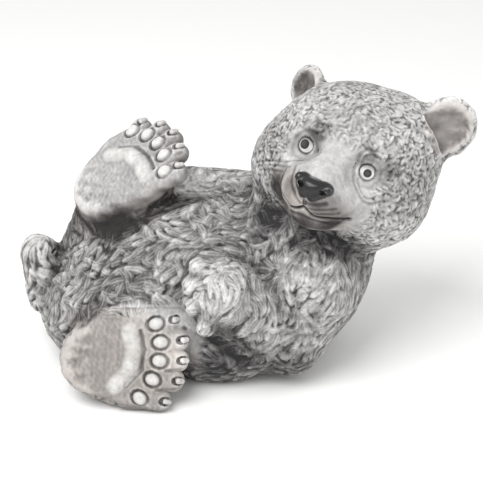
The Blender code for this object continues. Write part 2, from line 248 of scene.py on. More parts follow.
def toeForms(which, along, across, share):
    # a toe, its claw in a dark moat, and its pad in a groove
    space, radius = which["space"], foot["toeRadius"]
    out = along + toeLength(which, share)
    root, tip = clawLine(which, along, across, share)
    claw, pad = foot["clawRadius"], foot["padRadius"]
    return [
        limb(space, (along - 8, 11, across * 0.97), (out - 8, 11, across * 1.08), radius - 1, radius, 1.5),
        limb(space, np.subtract(root, (1.8, 1, 0)), np.subtract(tip, (1.6, 1, 0)), claw + 1, claw + 1, 0.8,
             cut=True),
        limb(space, root, tip, claw, claw - 0.4, 0.5),
        ball(padSpace(which, along, across, share), (0, 0, 0), (pad * 1.25, foot["padRaise"], pad), 0.8),
        ring(padSpace(which, along, across, share), pad + 1.6, foot["ringGroove"], 0.8, stretch=1.2),
    ]


def toeClefts(which):
    # the grooves between the toes, from the pads out to the edge
    places = toePlaces(which)
    forms = []
    for (a0, c0, s0), (a1, c1, s1) in zip(places, places[1:]):
        start = (a0 + a1) / 2 + 9
        end = (a0 + a1 + toeLength(which, s0) + toeLength(which, s1)) / 2 + 2
        middle = (c0 + c1) / 2
        forms.append(limb(which["space"], (start, 0.5, middle * 1.03), (end, 3, middle * 1.12), 1.3, 2.6, 1.5,
                          cut=True))
    return forms


def footForms(which):
    space = which["space"]
    forms = [
        ball(space, (-30, 15, 3), (which["heel"], 25, which["heel"]), 8),
        ball(space, (-2, 17, 2), (46, 26, 39), 12),
        ball(space, (8, 16, 0), (31, 25, 41), 10),
        block(space @ place((0, -19, 0)), (62, 20, 47), 3.5),
    ]
    for along, across, share in toePlaces(which):
        forms += toeForms(which, along, across, share)
    forms += toeClefts(which)
    bar = solePadBar(which)
    for start, end in zip(bar, bar[1:]):
        forms.append(limb(space, start, end, foot["barRadius"], foot["barRadius"], 3))
    for (x0, _, z0), (x1, _, z1) in zip(bar, bar[1:]):
        forms.append(limb(space, (x0 + 9.5, 1, z0), (x1 + 9.5, 1, z1), 1.8, 1.8, 1.5, cut=True))
    return forms


# The head

face = {
    "eyeApart": 56, "eyeMiddle": 1.5, "eyeLevel": 17.5, "eyeRadius": 8.2, "lidRadius": 8.2,
    "lidThickness": 1.6, "pupilRadius": {-1: 4.3, 1: 3.6},
    "look": {-1: (-5.0, 0.2), 1: (-1.6, -2.3)},  # where each pupil lies on its eye, in mm
    "noseWidth": 34, "noseDepth": 13.5, "muzzleWidth": 74, "earRim": 3.5,
}


def headForms():
    forms = [
        ball(head, (0.5, 5, 9), (73.5, 70, 68), 10),
        ball(head, (34, 6, 42), (36, 38, 34), 24),
        ball(head, (0, -24, 26), (54, 42, 38), 24),
        ball(head, (0, -58, -12), (face["muzzleWidth"] / 2, 34, 28), 18),
        ball(head, (0, -80, -15), (27, 21, 18), 12),
        ball(head, (0, -66, -31), (22, 24, 14), 8),
        limb(head, (0, -52, 16), (0, -88, 0), 15, 12, 14),
    ]
    for side in (-1, 1):
        forms.append(ball(head, (side * 39 - 2, -8, -13), (40, 48, 39), 24))
    forms += earForms(-1, (-64, 14, 50), 21, 46) + earForms(1, (65, 14, 67), 27, 30)
    return forms + eyeForms(-1) + eyeForms(1) + noseForms()


def earForms(side, centre, radius, outward):
    x, y, z = centre
    turns = (("Z", side * outward), ("Y", side * 25))
    inner = radius - face["earRim"]
    return [
        ball(head, centre, (radius, 12, radius), 8, turns=turns),
        ball(head, (x + side * 3, y - 13, z + 1), (inner, 10, inner), 2, cut=True, turns=turns),
    ]


def eyePlace(side):
    return side * face["eyeApart"] / 2 + face["eyeMiddle"], -56, face["eyeLevel"]


def lidSpace(side):
    x, y, z = eyePlace(side)
    return head @ place((x, y - 5, z), ("Z", side * 16))


def pupilPoint(side):
    # the point of the eyeball that looks at the viewer, moved by its look
    back, up = viewAxes()
    x, z = face["look"][side]
    way = back * face["eyeRadius"] + Vector((x, 0, 0)) + up * z
    return head @ Vector(eyePlace(side)) + way.normalized() * face["eyeRadius"]


def eyeForms(side):
    # a socket, the ball with its pupil sunk in, a rim round it and a heavier upper lid
    x, y, z = eyePlace(side)
    radius, pupil = face["eyeRadius"], face["pupilRadius"][side]
    lid = lidSpace(side)
    return [
        ball(head, (x, -72, z), (15, 10, 12), 8, cut=True),
        ring(lid @ place((0, 1.5, 0)), face["lidRadius"] + 4.2, 1.2, 2),
        ball(head, (x, y, z), (radius, radius, radius), 1),
        ring(lid, face["lidRadius"], face["lidThickness"], 0.8, cut=False),
        limb(lid, (-8, 0.5, 9), (8, 0.5, 9), 2.8, 2.8, 4),
        ball(Matrix.Translation(pupilPoint(side)), (0, 0, 0), (pupil, 1.3, pupil), 0.5, cut=True),
    ]


def noseForms():
    # a rounded wedge, broad on top and narrow below, with a nostril at each side and the lip's cleft under it
    wide, low = face["noseWidth"] / 2 - 3.6, -face["noseDepth"] + 3
    forms = [
        ball(head, (0, -98, -3), (13, 8, 5.5), 1),
        ball(head, (-1, -99, -6), (9, 7, 6), 2),
        limb(head, (-wide, -98, -0.5), (wide, -98, -1.5), 3.4, 3.4, 1),
    ]
    for side in (-1, 1):
        forms.append(limb(head, (side * wide, -99, -1), (side * 4 - 1, -101, low), 3.6, 3.6, 1.5))
    for side in (-1, 1):
        forms.append(limb(head, (side * 11, -100, -4.5), (side * 8, -107, -6.5), 2.2, 2.8, 0.8, cut=True))
    forms.append(limb(head, (-1, -107, low), (-1, -100, low - 9), 1.3, 1.2, 1, cut=True))
    return forms


groups = {
    "body": bodyForms(), "tail": tailForms(), "legs": legForms(),
    "nearFoot": footForms(foot["near"]), "farFoot": footForms(foot["far"]),
    "arms": armForms(), "paw": pawForms(), "head": headForms(),
}
allForms = [form for forms in groups.values() for form in forms]


# From forms to one even skin

def readPoints(mesh, source="vertices", name="co"):
    values = np.empty(len(mesh.vertices) * 3)
    (mesh.vertices if source == "vertices" else mesh.vertex_normals).foreach_get(name, values)
    return values.reshape(-1, 3)


def readNormals(mesh):
    return readPoints(mesh, "normals", "vector")


def readEdges(mesh):
    edges = np.empty(len(mesh.edges) * 2, np.int64)
    mesh.edges.foreach_get("vertices", edges)
    return edges.reshape(-1, 2)


def writePoints(mesh, points):
    mesh.vertices.foreach_set("co", points.ravel())
    mesh.update()


def signedGap(forms, near, points):
    total = np.full(len(points), 1e3)
    for form, which in zip(forms, near):
        here = total[which]
        there = form["gap"](points[which])
        if form["cut"]:
            here = -here
        joined = np.minimum(here, there)
        if form["blend"]:
            mix = np.maximum(form["blend"] - np.abs(here - there), 0) / form["blend"]
            joined -= mix * mix * form["blend"] / 4
        total[which] = -joined if form["cut"] else joined
    return total


def neighbourMean(values, edges):
    # each point's mean neighbour, for a column of numbers or for places
    flat = values.reshape(len(values), -1)
    ends = edges.ravel()
    count = np.maximum(np.bincount(ends, minlength=len(flat)), 1)
    columns = range(flat.shape[1])
    total = np.stack([np.bincount(ends, flat[edges[:, ::-1], k].ravel(), len(flat)) for k in columns], 1)
    return (total / count[:, None]).reshape(values.shape)


def settle(mesh, forms, rounds):
    points, edges = readPoints(mesh), readEdges(mesh)
    near = [np.flatnonzero(np.linalg.norm(points - form["middle"], axis=1) < form["reach"] + form["blend"] + 14)
            for form in forms]
    for _ in range(rounds):
        normals = readNormals(mesh)
        pull = neighbourMean(points, edges) - points
        points += 0.6 * (pull - 0.9 * (pull * normals).sum(1)[:, None] * normals)
        points -= np.clip(signedGap(forms, near, points), -2, 2)[:, None] * normals
        writePoints(mesh, points)


def withModifier(mesh, kind, **settings):
    carrier = bpy.data.objects.new("carrier", mesh)
    scene.collection.objects.link(carrier)
    modifier = carrier.modifiers.new(kind, kind)
    for name, value in settings.items():
        setattr(modifier, name, value)
    made = bpy.data.meshes.new_from_object(carrier.evaluated_get(bpy.context.evaluated_depsgraph_get()))
    bpy.data.objects.remove(carrier)
    return made


def remeshed(mesh, voxel):
    return withModifier(mesh, "REMESH", mode="VOXEL", voxel_size=voxel)


def blank(forms):
    lumps = bmesh.new()
    for form in forms:
        if form["cut"]:
            continue
        bm = bmesh.new()
        bmesh.ops.create_uvsphere(bm, u_segments=28, v_segments=16, radius=1)
        for vert in bm.verts:
            vert.co = form["space"] @ form["shape"](vert.co)
        lump = bpy.data.meshes.new("lump")
        bm.to_mesh(lump)
        bm.free()
        lumps.from_mesh(lump)
        bpy.data.meshes.remove(lump)
    mesh = bpy.data.meshes.new("blank")
    lumps.to_mesh(mesh)
    lumps.free()
    return remeshed(mesh, figure["blankVoxel"])


# Fine lines cut along paths that are seen in the photograph, given in its pixels

def seenAt(tree, pixel):
    # the point of the figure that shows at a pixel
    back, up = viewAxes()
    target = Vector(view["target"])
    eye = target + back * view["distance"]
    half = view["pixels"] / 2
    across = (pixel[0] - half) * view["mmPerPixel"]
    above = (half - pixel[1]) * view["mmPerPixel"]
    way = (target + Vector((across, 0, 0)) + up * above - eye).normalized()
    return tree.ray_cast(eye, way)[0]


cuts = {
    # the pixels of each path, its width and depth in mm, and how dark the wash lies in it
    "mouth": ([(290, 206.5), (297, 208), (303, 207.5), (308, 212), (313, 216), (325, 218.5), (337, 219),
               (347, 219.5)], 1.4, 2.6, 1.2),
    "mouthCorner": ([(345, 219.5), (349, 219.8)], 2.2, 2.4, 1.0),
    "philtrum": ([(303.5, 200), (303, 207)], 1.2, 1.4, 0.7),
    "underLip": ([(291, 211), (300, 214.5), (311, 219.5), (325, 223), (338, 223.5)], 1.7, 0.8, 0.4),
    "underNose": ([(306, 203), (314, 205), (326, 204)], 2.2, 0.6, 0.6),
    "lipFoldA": ([(308, 208.5), (322, 210), (336, 209)], 1.2, 0.5, 0.35),
    "lipFoldB": ([(312, 213), (325, 214.5), (340, 213)], 1.2, 0.5, 0.35),
    "muzzleFold": ([(296, 166), (291.5, 177), (293, 190), (300, 203)], 1.5, 0.9, 0.45),
    "muzzleFoldIn": ([(299, 170), (296.5, 181), (298, 193), (302, 201)], 1.1, 0.5, 0.3),
    "muzzleFoldOut": ([(286, 168), (281, 183), (284, 197), (290, 205)], 1.7, 0.8, 0.45),
    "muzzleLineA": ([(258, 161.5), (272, 160.5), (288, 161.5), (303, 160)], 1.1, 0.5, 0.4),
    "muzzleLineB": ([(258, 165.5), (274, 165), (290, 166.5)], 1.1, 0.5, 0.4),
    "muzzleLineC": ([(260, 169.5), (274, 170), (285, 171.5)], 1.1, 0.5, 0.4),
    "cheekFold": ([(353.5, 176), (356, 187), (361, 198), (369, 203.5), (384, 201)], 1.5, 0.7, 0.28),
    "cheekFoldIn": ([(357.5, 179), (360.5, 190), (366, 198), (376, 200)], 1.2, 0.6, 0.2),
    "browFold": ([(358, 161), (362, 152.5), (368, 149.5), (375, 151)], 1.8, 0.8, 0.25),
    "browFoldIn": ([(361, 164), (365, 156.5), (371, 154), (377, 156)], 1.6, 0.6, 0.25),
    "browFoldFar": ([(296, 136), (302, 131.5), (310, 130), (317, 133)], 1.8, 0.7, 0.3),
}


def smoothPath(points, steps=6):
    # a curve through the points
    ends = [points[0] * 2 - points[1]] + points + [points[-1] * 2 - points[-2]]
    path = []
    for a, b, c, d in zip(ends, ends[1:], ends[2:], ends[3:]):
        for k in range(steps):
            t = k / steps
            bent = (2 * a - 5 * b + 4 * c - d) * t**2 + (3 * b - a - 3 * c + d) * t**3
            path.append(0.5 * (2 * b + (c - a) * t + bent))
    return path + [points[-1]]


def cutLines(points, tree):
    # how deep the lines lie at each point, and how much dark wash they hold
    depth = np.zeros(len(points))
    washAndShade = np.zeros(len(points))
    for path, width, deep, dark in cuts.values():
        found = [seenAt(tree, pixel) for pixel in path]
        line = smoothPath([spot for spot in found if spot is not None])
        gap = np.full(len(points), 1e3)
        middle = np.array(sum(line, Vector()) / len(line))
        reach = max((spot - Vector(middle)).length for spot in line) + 10
        near = np.flatnonzero(np.linalg.norm(points - middle, axis=1) < reach)
        for a, b in zip(line, line[1:]):
            a, b = np.array(a), np.array(b)
            run = b - a
            share = np.clip((points[near] - a) @ run / max(run @ run, 1e-9), 0, 1)
            gap[near] = np.minimum(gap[near], np.linalg.norm(points[near] - a - share[:, None] * run, axis=1))
        amount = np.exp(-(gap / width) ** 2)
        depth = np.maximum(depth, amount * deep)
        washAndShade = np.maximum(washAndShade, amount * dark)
    return depth, washAndShade


# Fur: overlapping locks, each with its root low, its tip proud and its strands curling together

coats = {
    # in mm: lock length, width, spacing and raise, strand width and raise; stride is how much longer the
    # spacing is along a lock than across it; then how far the lie wanders, over what length, and how far
    # each lock strays from it
    "body": {"length": 26, "width": 10.5, "spacing": 6.6, "stride": 1.5, "raise": 2.2,
             "strand": 2.9, "strandRaise": 0.4, "wander": 2.2, "over": 24, "stray": 0.4},
    "legs": {"length": 24, "width": 10, "spacing": 6.3, "stride": 1.5, "raise": 2.0,
             "strand": 2.9, "strandRaise": 0.4, "wander": 2.2, "over": 22, "stray": 0.35},
    "tail": {"length": 22, "width": 9, "spacing": 7, "stride": 1.5, "raise": 1.5,
             "strand": 2.9, "strandRaise": 0.35, "wander": 0.9, "over": 26, "stray": 0.2},
    "arms": {"length": 20, "width": 8, "spacing": 5.6, "stride": 1.6, "raise": 0.95,
             "strand": 2.6, "strandRaise": 0.35, "wander": 1.2, "over": 20, "stray": 0.25},
    "paw": {"length": 13, "width": 7.5, "spacing": 5.4, "stride": 1.2, "raise": 0.9,
            "strand": 3.0, "strandRaise": 0.25, "wander": 0.9, "over": 14, "stray": 0.3},
    "head": {"length": 7, "width": 4.1, "spacing": 3.3, "stride": 1.2, "raise": 0.7,
             "strand": 3.0, "strandRaise": 0.1, "wander": 3.0, "over": 9, "stray": 0.2},
}
coatLie = {
    "body": (-0.95, -0.15, -0.3), "legs": (-0.35, -0.5, -0.8), "tail": (-0.1, -0.2, 1.0),
    "arms": (-0.25, -0.3, -0.9), "paw": (-0.9, -0.2, -0.3),
}
coatOf = {"body": "body", "tail": "tail", "legs": "legs", "nearFoot": "legs", "farFoot": "legs",
          "arms": "arms", "paw": "paw", "head": "head"}


def regionOf(points):
    # the group of forms that each point belongs to
    gaps = []
    for forms in groups.values():
        total = np.full(len(points), 1e3)
        for form in forms:
            if not form["cut"]:
                total = np.minimum(total, form["gap"](points))
        gaps.append(total)
    region = np.argmin(gaps, axis=0)
    names = list(groups)
    for part, which in (("nearFoot", foot["near"]), ("farFoot", foot["far"])):
        legOrFoot = np.isin(region, [names.index(name) for name in ("body", "legs", "nearFoot", "farFoot")])
        region[legOrFoot & (footBox(which)["gap"](points) < 0)] = names.index(part)
    return region


def footBox(which):
    return block(which["space"] @ place((4, which["wall"] - 30, 0)), (60, 30, 50), 0)


def barePlaces():
    bare = [
        ball(head, (0, -78, -14), (46, 48, 34), 0),
        ball(head, (0, -62, 10), (22, 42, 24), 0),
        ball(head, (-68, 0, 50), (18, 15, 19), 0),
        ball(head, (71, 0, 68), (24, 15, 24), 0),
    ]
    for side in (-1, 1):
        bare.append(ball(head, (side * face["eyeApart"] / 2, -62, face["eyeLevel"]), (15, 16, 13), 0))
    return bare


def bareFeet():
    bare = []
    for which in (foot["near"], foot["far"]):
        bare.append(block(which["space"] @ place((4, which["wall"] - 30, -which["furOver"] / 2)),
                          (60, 30, 50 - which["furOver"] / 2), 0))
        for along, across, _ in toePlaces(which):
            bare.append(limb(which["space"], (along, 8, across), (along + 20, 8, across * 1.1), 14, 14, 0))
    return bare


def furriness(points, region):
    amount = np.ones(len(points))
    onFoot = ~np.isin(np.array(list(groups))[region], ("paw", "arms"))
    for form in barePlaces():
        amount = np.minimum(amount, np.clip(form["gap"](points) / 6 + 0.2, 0, 1))
    for form in bareFeet():
        amount[onFoot] = np.minimum(amount[onFoot], np.clip(form["gap"](points[onFoot]) / 6 + 0.2, 0, 1))
    brow = ball(head, (0, -50, 42), (34, 24, 24), 0)["gap"](points)  # the forehead's curls are rubbed down
    return amount * (1 - 0.35 * np.clip(0.5 - brow / 24, 0, 1))


def combAt(point, name, coat):
    # the way the coat lies at a point: swept back from the nose on the head, elsewhere along its limb
    if name == "head":
        way = (point - head @ Vector((0, -95, 0))).normalized()
    else:
        way = Vector(coatLie[name])
    return way + coat["wander"] * noise.noise_vector(point / coat["over"]) * 1.6


def combOn(point, normal, name, coat):
    # the same laid down on the skin
    way = np.array(combAt(Vector(point), name, coat))
    way -= way @ normal * normal
    return way / max(np.linalg.norm(way), 1e-6)


def growLocks(points, normals, region, size, rng):
    # size scales every lock; returns each point's height, its distance across the lock in mm, and the
    # lock's shade
    count = len(points)
    tree = kdtree.KDTree(count)
    for i, point in enumerate(points):
        tree.insert(point, i)
    tree.balance()
    names = list(groups)
    taken = np.zeros(count, bool)
    height, across, shade = np.zeros(count), np.zeros(count), np.full(count, 0.5)
    # each point has its own draws, so one lock more or less leaves the others as they are
    order, draws, turns = rng.permutation(count), rng.random((count, 4)), rng.normal(size=count)
    for i in order:
        if taken[i]:
            continue
        name = coatOf[names[region[i]]]
        coat = coats[name]
        length = coat["length"] * size * (0.75 + 0.5 * draws[i, 0])
        width = coat["width"] * size * (0.8 + 0.4 * draws[i, 1])
        found = tree.find_range(points[i], length * 0.6)
        which = np.array([entry[1] for entry in found])
        normal = normals[i]
        way = combOn(points[i], normal, name, coat)
        side = np.cross(normal, way)
        turn = coat["stray"] * turns[i]
        way, side = way * math.cos(turn) + side * math.sin(turn), side * math.cos(turn) - way * math.sin(turn)
        step = points[which] - points[i]
        run = step @ way / length  # -0.5 at the root, 0.5 at the tip
        rootTurn = combOn(points[i] - way * length * 0.4, normal, name, coat) @ side
        tipTurn = combOn(points[i] + way * length * 0.4, normal, name, coat) @ side
        middle = run * np.abs(run) * length * np.where(run > 0, tipTurn, rootTurn) * 1.1
        spacing = coat["spacing"] * size
        besideIt = np.abs(step @ side - middle) < 0.75 * spacing
        taken[which[besideIt & (np.abs(run) * length < coat["stride"] * spacing)]] = True
        taken[i] = True
        rounded = np.sqrt(np.clip(1 - (np.abs(run) / 0.5) ** 2.2, 0.01, 1))
        taper = np.where(run < 0, rounded, np.clip(1 - (np.abs(run) / 0.5) ** 1.4, 0.05, 1) ** 0.85)
        beside = (step @ side - middle) / taper
        rise = np.clip(1 - (2 * beside / width) ** 2, 0, 1) ** 0.5 * np.clip(0.8 + 0.4 * run, 0, 1)
        rise *= (normals[which] @ normal > 0.15) * np.clip((0.5 - run) * 5, 0, 1) * (0.7 + 0.3 * draws[i, 2])
        better = rise > height[which]
        chosen = which[better]
        height[chosen] = rise[better]
        across[chosen] = beside[better]
        shade[chosen] = draws[i, 3]
    return height, across, shade


def spreadOver(values, edges, rounds):
    for _ in range(rounds):
        values = 0.5 * values + 0.5 * neighbourMean(values, edges)
    return values


def occlusionShadeOf(mesh, rng, reach=70, rays=20):
    # how much of the sky each point of the plain skin can't see, painted on as shade together with the patina of
    # deep hollows
    points, normals = readPoints(mesh), readNormals(mesh)
    polygons = [tuple(polygon.vertices) for polygon in mesh.polygons]
    tree = BVHTree.FromPolygons([Vector(point) for point in points], polygons)
    ways = rng.normal(size=(rays, 3))
    ways /= np.linalg.norm(ways, axis=1)[:, None]
    hidden = np.zeros(len(points))
    for i, (point, normal) in enumerate(zip(points, normals)):
        start = Vector(point + normal * 0.8)
        for way in ways:
            out = way if way @ normal > 0 else -way
            hit = tree.ray_cast(start, Vector(out + normal * 0.15), reach)
            if hit[0] is not None:
                hidden[i] += 1 - hit[3] / reach
            elif out[2] < 0 and point[2] < reach * -out[2]:
                hidden[i] += 1 + point[2] / (reach * out[2])
    return spreadOver(hidden / rays, readEdges(mesh), 3)


def nearestRows(source, points):
    tree = kdtree.KDTree(len(source))
    for i, point in enumerate(source):
        tree.insert(point, i)
    tree.balance()
    return np.array([tree.find(point)[1] for point in points])


def ripple(points, size, seed, waves=14):
    # a soft random swell over distances of about size
    rng = np.random.default_rng(seed)
    ways = rng.normal(size=(waves, 3))
    ways /= np.linalg.norm(ways, axis=1)[:, None]
    ways *= (2 * math.pi / size) * rng.uniform(0.6, 1.5, (waves, 1))
    return np.sin(points @ ways.T + rng.uniform(0, 6.3, waves)).sum(1) / math.sqrt(waves)


def soleness(points, which):
    # one on the flat of a sole, where the stone is left rough
    inverse = np.array(which["space"].inverted())
    p = points @ inverse[:3, :3].T + inverse[:3, 3]
    inside = np.clip((1.15 - np.hypot(p[:, 0] / 62, p[:, 2] / 46)) * 8, 0, 1)
    return inside * np.clip((9 - p[:, 1]) / 6, 0, 1) * (p[:, 1] > -14)


def eyeMarks(points):
    # the dark line between each eyeball and its rim, painted shade under each upper lid, and a darkening round and
    # above the sockets
    rimAndLidShade = np.zeros(len(points))
    socketDarkening = np.zeros(len(points))
    for side in (-1, 1):
        inverse = np.array(lidSpace(side).inverted())
        p = points @ inverse[:3, :3].T + inverse[:3, 3]
        out = np.hypot(p[:, 0], p[:, 2])
        near = np.abs(p[:, 1]) < 14
        past = out - face["lidRadius"]
        rimAndLidShade = np.maximum(rimAndLidShade, near * np.exp(-((past + face["lidThickness"] - 0.2) / 0.9) ** 2))
        rimAndLidShade = np.maximum(rimAndLidShade, near * 0.25 * np.exp(-((past - 3.4) / 1.5) ** 2))
        rimAndLidShade = np.maximum(rimAndLidShade, near * (past < 0) * np.clip((p[:, 2] + 2) / 11, 0.14, 0.6))  # the lid's shade
        above = np.hypot(p[:, 0] + side * 1.0, (p[:, 2] - 7) * 1.25)
        socketDarkening = np.maximum(socketDarkening, near * np.exp(-(above / 13) ** 4))
    return rimAndLidShade, socketDarkening


shadeAndStainSpots = {
    # the pixel of each spot's middle, its reach in mm and how much darker it is painted than its surroundings:
    # painted shade under the chin, arm and flank, painted light where the amount is negative, laid with the dark
    # patina of the casting
    "underChin": ((272, 215), 17, 0.36), "chinLow": ((305, 238), 20, 0.20), "neck": ((345, 246), 18, 0.22),
    "throat": ((262, 195), 14, 0.12), "flank": ((225, 355), 34, 0.30), "flankFront": ((262, 374), 20, 0.28),
    "underArm": ((225, 330), 10, 0.25), "elbow": ((290, 372), 26, 0.32), "soleRim": ((138, 312), 16, -0.09),
    "muzzleLow": ((328, 212), 14, 0.24), "chin": ((303, 223.5), 11, 0.62),
    "chinLeft": ((288, 212), 10, 0.48), "chinRight": ((328, 227), 11, 0.62),
    "lipRight": ((341, 220), 9, 0.26), "muzzleLeft": ((280, 190), 16, 0.53),
    "muzzleEdge": ((291, 184), 10, 0.22), "farHeel": ((114, 219), 15, 0.26),
    "underNose": ((314, 205), 8, 0.12), "legCrease": ((135, 215), 16, 0.06), "thigh": ((75, 215), 25, 0.13),
    "forehead": ((342, 112), 26, 0.05), "bellyLeft": ((130, 265), 32, 0.08),
    "cheek": ((412, 205), 32, 0.08), "cheekFar": ((268, 145), 20, 0.11), "bridge": ((324, 163), 12, -0.01),
    "bodyTop": ((190, 185), 26, -0.34), "besideToes": ((178, 190), 15, -0.36),
    "toes": ((187, 355), 20, -0.22), "pawTop": ((215, 290), 26, -0.13), "browFar": ((318, 131), 11, 0.26),
    "browFarLeft": ((294, 142), 8, 0.12), "socketNear": ((388, 172), 11, 0.20),
    "brow": ((368, 157), 8, 0.14), "earFar": ((306, 84), 16, 0.17), "ear": ((452, 121), 19, 0.08),
}
# each part's base amount: painted shade with the casting's patina, most on the low body and legs
regionShadeAndStain = {"body": 0.20, "tail": 0.10, "legs": 0.24, "nearFoot": 0.02, "farFoot": 0.0, "arms": 0.11,
               "paw": 0.04, "head": -0.01}


def shadeAndStainOf(points, region, tree):
    # how much darker each part is painted: painted shade in its low and hidden places and painted light where an
    # amount is negative, laid with the dark patina left when the stone was rubbed down
    amount = np.array([regionShadeAndStain[part] for part in groups])[region]
    for pixel, reach, dark in shadeAndStainSpots.values():
        spot = seenAt(tree, pixel)
        if spot is not None:
            gap = np.linalg.norm(points - np.array(spot), axis=1) / reach
            amount += dark * np.exp(-gap**4)
    # painted shade with brown patina on the wall under each sole
    for which in (foot["near"], foot["far"]):
        inverse = np.array(which["space"].inverted())
        p = points @ inverse[:3, :3].T + inverse[:3, 3]
        inside = np.maximum(np.abs(p[:, 0]) / 62, np.abs(p[:, 2]) / 52) < 1
        wall = np.clip((p[:, 1] - 7) / 4, 0, 1)
        inside = inside * np.clip((72 - p[:, 1]) / 30, 0, 1)  # not as deep as the far side of the body
        amount += inside * (which["wallShadeAndStain"] * wall + which["soleStain"] * (1 - wall))
    return amount


def coatValues(region, name):
    return np.array([coats[coatOf[part]][name] for part in groups])[region]


def keepFine(points):
    # how much of its fineness the mesh keeps: all of it on the face and the claws
    keep = np.full(len(points), 0.25)
    zones = (
        (ball(head, (-10, -30, 10), (82, 62, 74), 0), 6, 0.4), (ball(nearPaw, (0, 0, 0), (40, 30, 44), 0), 6, 0.4),
        (ball(head, (0, -84, -8), (34, 26, 26), 0), 6, 1), (ball(head, (0, -66, 17), (44, 18, 15), 0), 4, 1),
    )
    for form, size, share in zones:
        keep = np.maximum(keep, share * np.clip(0.5 - form["gap"](points) / size, 0, 1))
    for which in (foot["near"], foot["far"]):
        soles = block(which["space"] @ place((14, 0, 0)), (46, 12, 52), 0)
        keep = np.maximum(keep, 0.6 * np.clip(0.5 - soles["gap"](points) / 6, 0, 1))
    return keep


def thinned(mesh, keep):
    carrier = bpy.data.objects.new("carrier", mesh)
    scene.collection.objects.link(carrier)
    group = carrier.vertex_groups.new(name="thin here")
    levels = np.round((1 - keep) * 20).astype(int)
    for level in np.unique(levels):
        group.add(np.flatnonzero(levels == level).tolist(), level / 20, "REPLACE")
    modifier = carrier.modifiers.new("thin", "DECIMATE")
    modifier.ratio = figure["triangles"] / (2 * len(mesh.polygons))
    modifier.vertex_group = group.name
    modifier.vertex_group_factor = 4
    made = bpy.data.meshes.new_from_object(carrier.evaluated_get(bpy.context.evaluated_depsgraph_get()))
    bpy.data.objects.remove(carrier)
    return made


def carve():
    rng = np.random.default_rng(figure["seed"])
    noise.seed_set(figure["seed"])  # else the comb field starts from the clock
    mesh = blank(allForms)
    settle(mesh, allForms, 8)
    print("blocked out", len(mesh.vertices), "points")
    # painted shade where the sky is hidden, with the patina of deep hollows
    occlusionShade, occlusionShadePoints = occlusionShadeOf(mesh, rng), readPoints(mesh)
    print("shelter found")
    mesh = remeshed(mesh, figure["fineVoxel"])
    settle(mesh, allForms, 5)
    print("settled", len(mesh.vertices), "points")
    points, normals, edges = np.round(readPoints(mesh), 4), np.round(readNormals(mesh), 4), readEdges(mesh)
    tree = BVHTree.FromPolygons([Vector(point) for point in points],
                                [tuple(polygon.vertices) for polygon in mesh.polygons])
    depth, washAndShade = cutLines(points, tree)
    rimAndLidShade, socketDarkening = eyeMarks(points)
    region = regionOf(points)
    fur = furriness(points, region)
    # painted shade and painted light by spot and by part, with the casting's dark patina
    shadeAndStain = spreadOver(shadeAndStainOf(points, region, tree), edges, 6)
    clumps = growLocks(points, normals, region, 2.1, rng)[0]
    print("clumps raised")
    height, across, shade = growLocks(points, normals, region, 1.0, rng)
    print("locks raised")
    across = across * (0.8 + 0.4 * shade) + 0.5 * ripple(points, 12, 8)
    strand = 0.5 + 0.5 * np.cos(across * 2 * math.pi / coatValues(region, "strand") + shade * 6)
    strand = strand**0.8 * np.clip(height * 2.5, 0, 1)
    soles = np.maximum(soleness(points, foot["near"]), soleness(points, foot["far"]))
    grit = ripple(points, 5, 3) * 0.16 * soles + ripple(points, 14, 4) * 0.35
    small = np.where(np.array(list(groups))[region] == "head", 0.5, 1.0)
    lift = (1.3 * small * (clumps - 0.6) + height - 0.65) * coatValues(region, "raise")
    lift += (strand - 0.5) * coatValues(region, "strandRaise")
    points += (lift * fur - depth + grit)[:, None] * normals
    relief = (0.5 * clumps + 0.5 * np.maximum(height, 0.1)) * fur + 0.62 * (1 - fur)
    writePoints(mesh, points)
    thin = thinned(mesh, keepFine(points))
    print("thinned to", len(thin.polygons), "triangles")
    final = readPoints(thin)
    rows = nearestRows(points, final)
    # the wash mark carries the patina in the cut lines and eye rims and the painted shade under the upper lids
    marks = {"relief": relief, "strand": strand * fur, "lockShade": shade, "fur": fur,
             "washAndShade": np.maximum(washAndShade, rimAndLidShade), "socketDarkening": socketDarkening, "shadeAndStain": shadeAndStain}
    marks = {name: values[rows] for name, values in marks.items()}
    fine = readEdges(thin)
    marks["occlusionShade"] = spreadOver(occlusionShade[nearestRows(occlusionShadePoints, final)], fine, 3)
    marks["sole"] = np.maximum(soleness(final, foot["near"]), soleness(final, foot["far"]))
    swell = spreadOver(final, fine, 6)
    marks["hollow"] = ((swell - final) * readNormals(thin)).sum(1)
    return thin, marks


def toSolid(points):
    # figure millimetres to the solid's place in metres
    low, high = np.array(figure["low"]), np.array(figure["high"])
    scale = (nodeHigh[0] - nodeLow[0]) / (high[0] - low[0])
    placed = np.array(points, float) * scale
    middle = (low + high) / 2 * scale
    placed[..., 0] += (nodeLow[0] + nodeHigh[0]) / 2 - middle[0]
    placed[..., 1] += (nodeLow[1] + nodeHigh[1]) / 2 - middle[1]
    return placed


def solidScale():
    return (nodeHigh[0] - nodeLow[0]) / (figure["high"][0] - figure["low"][0])


# Material

def linear(hexColour):
    # sRGB hex to linear
    channels = [int(hexColour[i:i + 2], 16) / 255 for i in (1, 3, 5)]
    return tuple(c / 12.92 if c <= 0.04045 else ((c + 0.055) / 1.055) ** 2.4 for c in channels) + (1,)


def addNode(tree, kind, inputs=None, **settings):
    # a node with its settings, and its inputs set or linked
    node = tree.nodes.new(kind)
    for name, value in settings.items():
        setattr(node, name, value)
    for name, value in (inputs or {}).items():
        socket = node.inputs[name]
        if isinstance(value, bpy.types.NodeSocket):
            tree.links.new(value, socket)
        else:
            socket.default_value = value
    return node


